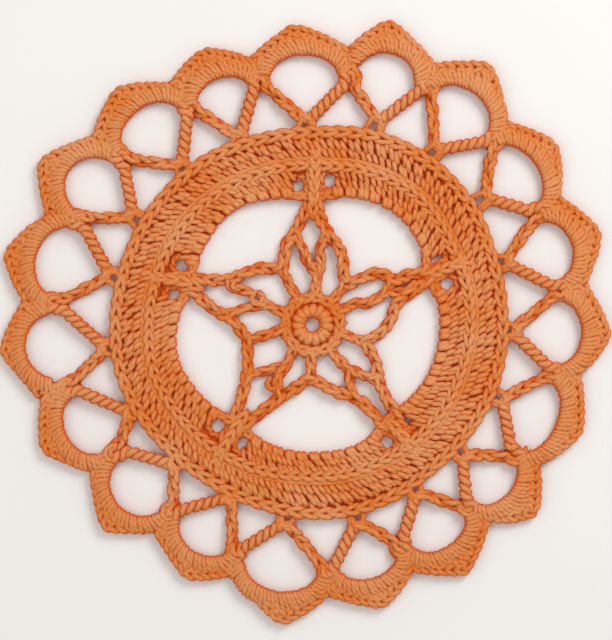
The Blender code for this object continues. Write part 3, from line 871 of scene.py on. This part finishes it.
def edging(material):
    """Nineteen pointed arches, each worked over its own loop of chain and topped with a chained edge."""
    wraps = Skein("edging_wraps")
    posts = Skein("edging_posts")
    tops = Skein("edging_tops")
    for row, following in zip(SCALLOPS, SCALLOPS[1:] + SCALLOPS[:1]):
        opening, outline, free = arch_lines(row, following)
        first, last = opening.mark((ROLL_FROM, 1 - ROLL_FROM))
        starts = np.linspace(first, last, round((last - first) / ROLL_PITCH))
        wraps.lay(worked(opening, ROLL_WRAP, starts, level=2.2, loose=1.2), 0.95)
        count = round(LEAVES_PER_STITCH * ARCH_STITCHES)
        feet = opening.length * (LEAF_FROM + (1 - 2 * LEAF_FROM) * (np.arange(count) + 0.5) / count)
        heads = outline.mark(opening.share(feet))
        for thick, shape in ARCH_LEAVES:
            posts.lay(spanned(opening, outline, shape, feet, heads, loose=1.6), thick)
        seam = Course([join_place(row, knuckle(row) + SEAM_FROM, 0.0), at(row.join, row.notch - SEAM_IN)])
        chain(posts, seam, pitch=3.9, side=1.5, thick=1.05, level=1.9, loose=1.6)
        chain(tops, free, -EDGE_OVERLAP, free.length + EDGE_OVERLAP, pitch=free.length / ARCH_STITCHES,
              side=1.5, thick=1.02, back=True, level=2.15, loose=1.6)
    return [skein.made(material) for skein in (wraps, posts, tops)]


# ---------------------------------------------------------------------------------------------------
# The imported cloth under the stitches
# ---------------------------------------------------------------------------------------------------

CORE_INSET = 1.1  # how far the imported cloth's edges lie inside the doily's
CORE_LEVEL, CORE_SHARE = 0.5, 0.45  # the level of its underside, and its thickness as a share
CORE_EDGE = 0.15  # a corner whose normal leans more than this is at an edge
COVER = 0.5  # how near to a yarn's path a corner is out of sight
UNFOLDING = 30  # steps in which corners go back until no face is turned over
STEP_BACK = 0.75  # the share of its way that a corner keeps at each
LEAST_AREA = 0.1  # the share of its area that a face keeps
LEVEL_FACE = 0.7  # a face whose normal rises more than this is in the top or the underside
RIM_REACH = 12.0  # the radius within which the cloth is the centre ring's
BAND_MARGIN = 1.0  # how far inside the band's inner edge the cloth is still the band's
NET_FROM, NET_TO = 0.3, 0.5  # how far outside the band's edge and the arches' inner side the net is
# How far inside the band's outer edge a corner, or a face's middle, already counts as the net's
STRAY_CORNER, STRAY_FACE = 0.6, 1.0


def under_radius(bearing):
    """The radius of the edging's inner side at the joins, from one to the next."""
    seams = sorted((row.seam % 360, row.under) for row in SCALLOPS)
    around = [(seams[-1][0] - 360, seams[-1][1])] + seams + [(seams[0][0] + 360, seams[0][1])]
    return np.interp(bearing, *zip(*around))


def halfway(bearing):
    """The radius halfway up the net."""
    return 0.5 * (band_outer_radius(bearing) + under_radius(bearing))


def from_hub(places):
    """The radius and bearing of places from the hub."""
    across, up = (places - HUB).T
    return np.hypot(across, up), np.degrees(np.arctan2(across, up)) % 360


def in_cords(places):
    """Whether places are in the star's chains or the net's legs, which are yarn through and through."""
    out, bearing = from_hub(places)
    star = np.linalg.norm(places - RING_CENTRE, axis=1) > RIM_REACH
    star &= out < band_inner_radius(bearing) - BAND_MARGIN
    net = (out > band_outer_radius(bearing) + NET_FROM) & (out < under_radius(bearing) + NET_TO)
    return star | net


def strayed(plan, faces):
    """Whether faces still reach from the band into the net."""
    out, bearing = from_hub(plan)
    corners = (out > band_outer_radius(bearing) - STRAY_CORNER) & (out < under_radius(bearing))
    out, bearing = from_hub(plan[faces].mean(axis=1))
    reaching = corners[faces].any(axis=1) | (out > band_outer_radius(bearing) - STRAY_FACE)
    return reaching & (out < halfway(bearing))


def covered(plan, edge):
    """The plan of the sheet's corners, each at an edge drawn towards the yarn nearest it."""
    yarn = np.vstack(laid)
    tree = KDTree(len(yarn))
    for index, (x, y) in enumerate(yarn):
        tree.insert((x, y, 0.0), index)
    tree.balance()
    for corner in np.flatnonzero(edge):
        x, y = plan[corner]
        near, _, gap = tree.find((x, y, 0.0))
        if gap > COVER:
            plan[corner] += (1 - COVER / gap) * (np.array(near[:2]) - plan[corner])
    return plan


def twice_area(plan, faces):
    """Twice each face's area in plan, less than nothing where it is turned over."""
    corner, one, other = (plan[faces[:, k]] for k in range(3))
    one, other = one - corner, other - corner
    return one[:, 0] * other[:, 1] - one[:, 1] * other[:, 0]


def drawn_in(plan, normals, feet):
    """The plan with its edges inside the yarn's, and with the net's feet inside the band."""
    flat = normals[:, :2]
    lean = np.linalg.norm(flat, axis=1, keepdims=True)
    inward = np.where(lean > CORE_EDGE, -flat / np.maximum(lean, CORE_EDGE), 0.0)
    edged = covered(plan + CORE_INSET * inward, lean[:, 0] > CORE_EDGE)
    out, bearing = from_hub(plan)
    drawn = ((band_outer_radius(bearing) - FOOT_IN) / out)[:, None]
    return np.where(feet[:, None], HUB + drawn * (plan - HUB), edged)


def unfolded(before, after, faces, level):
    """The plan moved from before to after, less far where a level face would turn over."""
    size = twice_area(before, faces)
    share = np.ones((len(before), 1))
    for _ in range(UNFOLDING):
        moved = twice_area(before + share * (after - before), faces)
        folded = level & (moved * np.sign(size) < LEAST_AREA * np.abs(size))
        share[np.unique(faces[folded])] *= STEP_BACK
    return before + share * (after - before)


def packed_cloth(material):
    """The yarn inside the stitches, as one thin sheet with the doily's outline and gaps."""
    solid = bmesh.new()
    solid.from_mesh(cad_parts["doily"].data)
    bmesh.ops.remove_doubles(solid, verts=solid.verts, dist=0.01 * MM)
    bmesh.ops.triangulate(solid, faces=solid.faces)
    bmesh.ops.recalc_face_normals(solid, faces=solid.faces)
    solid.normal_update()
    solid.faces.ensure_lookup_table()
    places = np.array([corner.co for corner in solid.verts]) / MM
    normals = np.array([corner.normal for corner in solid.verts])
    faces = np.array([[corner.index for corner in face.verts] for face in solid.faces])
    before = places[:, :2]
    out, bearing = from_hub(before)
    beyond = out > halfway(bearing)
    feet = (out > band_outer_radius(bearing)) & ~beyond
    cords = in_cords(before[faces].mean(axis=1)) | (feet[faces].any(axis=1) & beyond[faces].any(axis=1))
    level = (np.abs([face.normal.z for face in solid.faces]) > LEVEL_FACE) & ~cords
    plan = unfolded(before, drawn_in(before, normals, feet), faces, level)
    for corner, (x, y), height in zip(solid.verts, plan, places[:, 2]):
        corner.co = (x * MM, y * MM, (CORE_LEVEL + CORE_SHARE * height) * MM)
    gone = [solid.faces[k] for k in np.flatnonzero(cords | strayed(plan, faces))]
    bmesh.ops.delete(solid, geom=gone, context="FACES")
    mesh = bpy.data.meshes.new("packed_cloth")
    solid.to_mesh(mesh)
    solid.free()
    made = piece("packed_cloth", mesh, material)
    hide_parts("doily")
    return made


# ---------------------------------------------------------------------------------------------------
# Materials
# ---------------------------------------------------------------------------------------------------

ORANGE = (0.71, 0.24, 0.042, 1.0)
DEEP_ORANGE = (0.68, 0.072, 0.003, 1.0)  # the darker tone of some strands, and painted shade in the yarn's hollows, grooves and on its flanks
PEACH = (0.73, 0.36, 0.155, 1.0)  # a painted highlight on its crests, and paler patches where its fibres stand up
SHADED_INNER_ORANGE = (0.50, 0.075, 0.008, 1.0)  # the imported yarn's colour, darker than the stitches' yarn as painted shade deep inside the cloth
FLOOR_TONES = (0.80, 0.79, 0.77, 1.0), (0.84, 0.83, 0.81, 1.0)
TONE_STRETCH = (0.22, 0.5, 1.0)  # how fast a strand's tone changes along it and round it
PLY_RIDGES = 3.0  # round a strand
FIBRES_ALONG, FIBRES_ROUND, FIBRES_LEAN = 0.9, 9.0, 2.6
FLANK_FROM, FLANK_FULL = 0.92, 0.3  # how upright a face's normal is where a flank starts and is whole
# How much shade is painted on the yarn in its grooves, on its flanks and where it is sunk, and how much
# highlight is painted on its crests
GROOVE_SHADE, FLANK_SHADE, SUNK_SHADE, CREST_HIGHLIGHT = 0.2, 0.75, 0.95, 0.45


class Nodes:
    """A node tree with short calls to add nodes and join them."""

    def __init__(self, tree):
        self.tree = tree

    def feed(self, socket, value):
        """Gives a socket another node's output or a plain value."""
        if isinstance(value, bpy.types.NodeSocket):
            self.tree.links.new(value, socket)
        else:
            socket.default_value = value

    def add(self, kind, inputs=None, **settings):
        made = self.tree.nodes.new(kind)
        for name, value in settings.items():
            setattr(made, name, value)
        for name, value in (inputs or {}).items():
            self.feed(made.inputs[name], value)
        return made

    def sum(self, operation, *values):
        return self.add("ShaderNodeMath", dict(enumerate(values)), operation=operation).outputs[0]

    def blend(self, share, one, other):
        """One colour, towards the other by a share; the numbers are the mix node's colour sockets."""
        return self.add("ShaderNodeMix", {0: share, 6: one, 7: other}, data_type="RGBA").outputs[2]

    def smoothed(self, value, low, high):
        """A mask that rises smoothly from 0 where the value is low to 1 where it is high."""
        inputs = {"Value": value, "From Min": low, "From Max": high}
        return self.add("ShaderNodeMapRange", inputs, interpolation_type="SMOOTHSTEP").outputs["Result"]


def effect(name, inputs, outputs):
    """An empty shader node group, its nodes, what it is given and what it puts out."""
    group = bpy.data.node_groups.new(name, "ShaderNodeTree")
    for label, kind in inputs.items():
        group.interface.new_socket(label, in_out="INPUT", socket_type="NodeSocket" + kind)
    for label, kind in outputs.items():
        group.interface.new_socket(label, in_out="OUTPUT", socket_type="NodeSocket" + kind)
    nodes = Nodes(group)
    return group, nodes, nodes.add("NodeGroupInput").outputs, nodes.add("NodeGroupOutput").inputs


def dyed_cotton():
    """Uneven dye: a broad drift over the doily, a tone for each strand and a paler bloom of fibre."""
    group, nodes, given, out = effect(
        "dyed_cotton",
        {"Colour": "Color", "Deep": "Color", "Bloom And Highlight": "Color", "Drift Amount": "Float",
         "Bloom Amount": "Float"},
        {"Colour": "Color"},
    )
    place = nodes.add("ShaderNodeTexCoord").outputs["Object"]
    drift = nodes.add("ShaderNodeTexNoise", {"Vector": place, "Scale": 55.0, "Detail": 2.0})
    strand = nodes.add("ShaderNodeUVMap", uv_map="yarn").outputs["UV"]
    stretched = nodes.add("ShaderNodeVectorMath", {0: strand, 1: TONE_STRETCH}, operation="MULTIPLY")
    tone = nodes.add("ShaderNodeTexNoise", {"Vector": stretched.outputs[0], "Scale": 1.0, "Detail": 1.0})
    deep_share = nodes.sum("MULTIPLY", given["Drift Amount"], tone.outputs["Fac"])
    shaded = nodes.blend(deep_share, given["Colour"], given["Deep"])
    patch = nodes.add(
        "ShaderNodeMapRange", {"Value": drift.outputs["Fac"], "From Min": 0.42, "From Max": 0.68}
    )
    bloom_share = nodes.sum("MULTIPLY", given["Bloom Amount"], patch.outputs["Result"])
    nodes.feed(out["Colour"], nodes.blend(bloom_share, shaded, given["Bloom And Highlight"]))
    return group


def spun_yarn():
    """Height and groove mask of a plied yarn from its strand's length and turn."""
    group, nodes, given, out = effect(
        "spun_yarn", {"Ply Pitch": "Float", "Fibre": "Float"}, {"Height": "Float", "Groove": "Float"}
    )
    strand = nodes.add("ShaderNodeUVMap", uv_map="yarn").outputs["UV"]
    parts = nodes.add("ShaderNodeSeparateXYZ", {"Vector": strand}).outputs
    plies = nodes.sum("DIVIDE", parts["X"], given["Ply Pitch"])
    wound = nodes.sum("MULTIPLY_ADD", parts["Y"], PLY_RIDGES, plies)
    wave = nodes.sum("SINE", nodes.sum("MULTIPLY", wound, 2 * pi))
    ply = nodes.sum("MULTIPLY_ADD", wave, 0.5, 0.5)
    lean = nodes.sum("MULTIPLY", parts["X"], FIBRES_LEAN)
    fine = nodes.add("ShaderNodeCombineXYZ", {
        "X": nodes.sum("MULTIPLY", parts["X"], FIBRES_ALONG),
        "Y": nodes.sum("MULTIPLY_ADD", parts["Y"], FIBRES_ROUND, lean),
    })
    fibres = nodes.add("ShaderNodeTexNoise", {"Vector": fine.outputs[0], "Scale": 1.6, "Detail": 3.0})
    soft = nodes.sum("MULTIPLY", fibres.outputs["Fac"], given["Fibre"])
    nodes.feed(out["Height"], nodes.sum("ADD", ply, soft))
    nodes.feed(out["Groove"], nodes.sum("SUBTRACT", 1.0, ply))
    return group


def sunk_yarn():
    """Masks of how deep in the cloth a point lies, how far it stands out and how steeply it falls away, for
    shade and highlight painted into the yarn's colour.
    """
    group, nodes, given, out = effect(
        "sunk_yarn",
        {"Middle": "Float", "Full": "Float", "Clear": "Float", "Crest": "Float"},
        {"Sunk": "Float", "Crest": "Float", "Flank": "Float"},
    )
    place = nodes.add("ShaderNodeTexCoord").outputs["Object"]
    height = nodes.add("ShaderNodeSeparateXYZ", {"Vector": place}).outputs["Z"]
    reach = nodes.sum("ABSOLUTE", nodes.sum("SUBTRACT", height, given["Middle"]))
    facing = nodes.add("ShaderNodeNewGeometry").outputs["Normal"]
    rise = nodes.add("ShaderNodeSeparateXYZ", {"Vector": facing}).outputs["Z"]
    nodes.feed(out["Sunk"], nodes.smoothed(reach, given["Clear"], given["Full"]))
    nodes.feed(out["Crest"], nodes.smoothed(reach, given["Clear"], given["Crest"]))
    nodes.feed(out["Flank"], nodes.smoothed(nodes.sum("ABSOLUTE", rise), FLANK_FROM, FLANK_FULL))
    return group


def cotton(name, effects, dye_and_painted_light, sheen):
    """A cotton yarn: dyed, plied and softly fuzzy, with shade painted into its grooves, flanks and hollows
    and a highlight painted on its crests.
    """
    dyeing, spinning, sinking = effects
    material = bpy.data.materials.new(name)
    material.use_nodes = True
    nodes = Nodes(material.node_tree)
    dyed = nodes.add("ShaderNodeGroup", dye_and_painted_light, node_tree=dyeing)
    spun = nodes.add("ShaderNodeGroup", {"Ply Pitch": 2.1, "Fibre": 0.8}, node_tree=spinning)
    levels = {"Middle": CLOTH_MIDDLE, "Full": 0.1, "Clear": 1.3, "Crest": 2.4}
    levels = {label: level * MM for label, level in levels.items()}
    sunk = nodes.add("ShaderNodeGroup", levels, node_tree=sinking)
    # Painted shade: darker in the ply grooves, on the strands' flanks and deep in the cloth; painted
    # highlight: paler on the crests
    grooved = nodes.sum("MULTIPLY", spun.outputs["Groove"], GROOVE_SHADE)
    flanked = nodes.sum("MULTIPLY_ADD", sunk.outputs["Flank"], FLANK_SHADE, grooved)
    hollow = nodes.sum("MULTIPLY", sunk.outputs["Sunk"], SUNK_SHADE)
    crest_highlight = nodes.sum("MULTIPLY", sunk.outputs["Crest"], CREST_HIGHLIGHT)
    highlighted = nodes.blend(crest_highlight, dyed.outputs["Colour"], dye_and_painted_light["Bloom And Highlight"])
    shaded = nodes.blend(nodes.sum("MAXIMUM", hollow, flanked), highlighted, dye_and_painted_light["Deep"])
    bump = nodes.add("ShaderNodeBump", {
        "Height": spun.outputs["Height"], "Distance": 0.3 * MM, "Strength": 0.8,
    })
    shader = material.node_tree.nodes["Principled BSDF"]
    for label, value in (
        ("Base Color", shaded),
        ("Normal", bump.outputs["Normal"]),
        ("Roughness", 0.86),
        ("Specular IOR Level", 0.12),
        ("Sheen Weight", sheen),
        ("Sheen Roughness", 0.45),
        ("Sheen Tint", (1.0, 0.80, 0.66, 1.0)),
    ):
        nodes.feed(shader.inputs[label], value)
    return material


def plain_floor():
    """A matt, pale and faintly mottled floor."""
    material = bpy.data.materials.new("pale_floor")
    material.use_nodes = True
    nodes = Nodes(material.node_tree)
    place = nodes.add("ShaderNodeTexCoord").outputs["Object"]
    mottle = nodes.add("ShaderNodeTexNoise", {"Vector": place, "Scale": 9.0, "Detail": 4.0})
    shader = material.node_tree.nodes["Principled BSDF"]
    nodes.feed(shader.inputs["Base Color"], nodes.blend(mottle.outputs["Fac"], *FLOOR_TONES))
    nodes.feed(shader.inputs["Roughness"], 0.9)
    return material


# ---------------------------------------------------------------------------------------------------
# Floor, light and camera
# ---------------------------------------------------------------------------------------------------

# In metres, as the floor, lamps and camera stand in the frame
FLOOR_HALF = 1.6
FLOOR_DROP = 0.0003  # how far the floor lies under the doily
SKY_COLOUR, SKY_STRENGTH = (1.0, 0.98, 0.96, 1.0), 0.62
Lamp = namedtuple("Lamp", "name place size power")
LAMPS = [
    Lamp("key", (0.42, 0.48, 0.62), 0.4, 4.0),
    Lamp("fill", (-0.5, -0.1, 0.8), 0.9, 2.0),
]
PHOTO_WIDE, PHOTO_TALL = 612, 640  # the photograph's size in pixels
PIXEL = 0.35 * MM  # the real length of one
ORIGIN_PIXEL = (305.5, 322.5)  # the frame's origin in the photograph, across and down
CAMERA_HEIGHT = 0.75
FOCUS_HEIGHT = 0.002  # the level at which the camera sees the photograph's whole height
SENSOR = 24.0  # the height of the camera's sensor, in mm


def floor():
    mesh = bpy.data.meshes.new("floor")
    corners = [(-1, -1), (1, -1), (1, 1), (-1, 1)]
    mesh.from_pydata([(FLOOR_HALF * x, FLOOR_HALF * y, 0) for x, y in corners], [], [range(4)])
    mesh.materials.append(plain_floor())
    made = bpy.data.objects.new("floor", mesh)
    made.location.z = -FLOOR_DROP
    bpy.context.scene.collection.objects.link(made)


def light():
    """A soft pale sky, a key lamp from the photograph's top right and a wide fill lamp."""
    world = bpy.data.worlds.new("studio")
    world.use_nodes = True
    sky = world.node_tree.nodes["Background"]
    sky.inputs["Color"].default_value = SKY_COLOUR
    sky.inputs["Strength"].default_value = SKY_STRENGTH
    bpy.context.scene.world = world
    for row in LAMPS:
        lamp = bpy.data.lights.new(row.name, "AREA")
        lamp.size = row.size
        lamp.energy = row.power
        made = bpy.data.objects.new(row.name, lamp)
        made.location = row.place
        made.rotation_euler = (-Vector(row.place)).to_track_quat("-Z", "Y").to_euler()
        bpy.context.scene.collection.objects.link(made)


def camera():
    """A camera straight above, with the photograph's frame and scale."""
    lens = bpy.data.cameras.new("camera")
    lens.sensor_fit = "VERTICAL"
    lens.sensor_height = SENSOR
    lens.lens = SENSOR * (CAMERA_HEIGHT - FOCUS_HEIGHT) / (PHOTO_TALL * PIXEL)
    made = bpy.data.objects.new("camera", lens)
    aim_x = (0.5 * PHOTO_WIDE - ORIGIN_PIXEL[0]) * PIXEL
    aim_y = (ORIGIN_PIXEL[1] - 0.5 * PHOTO_TALL) * PIXEL
    made.location = (aim_x, aim_y, CAMERA_HEIGHT)
    bpy.context.scene.collection.objects.link(made)
    bpy.context.scene.camera = made


def main():
    camera()
    floor()
    light()
    effects = dyed_cotton(), spun_yarn(), sunk_yarn()
    # The yarn's dye, with the colours of its painted shade and painted highlight
    yarn_dye_and_painted_light = {"Colour": ORANGE, "Deep": DEEP_ORANGE, "Bloom And Highlight": PEACH,
                 "Drift Amount": 0.4, "Bloom Amount": 0.75}
    # The imported yarn inside the stitches, darkened as painted shade
    inner_dye_and_shade = {"Colour": SHADED_INNER_ORANGE, "Deep": SHADED_INNER_ORANGE, "Bloom And Highlight": DEEP_ORANGE,
                 "Drift Amount": 0.3, "Bloom Amount": 0.3}
    yarn = cotton("cotton_yarn", effects, yarn_dye_and_painted_light, sheen=0.08)
    inner = cotton("inner_yarn", effects, inner_dye_and_shade, sheen=0.0)
    stitches = [centre_ring(yarn), star_chains(yarn), *band(yarn), *net_legs(yarn), *edging(yarn)]
    cloth = packed_cloth(inner)
    bpy.context.scene.view_settings.view_transform = "Standard"


main()
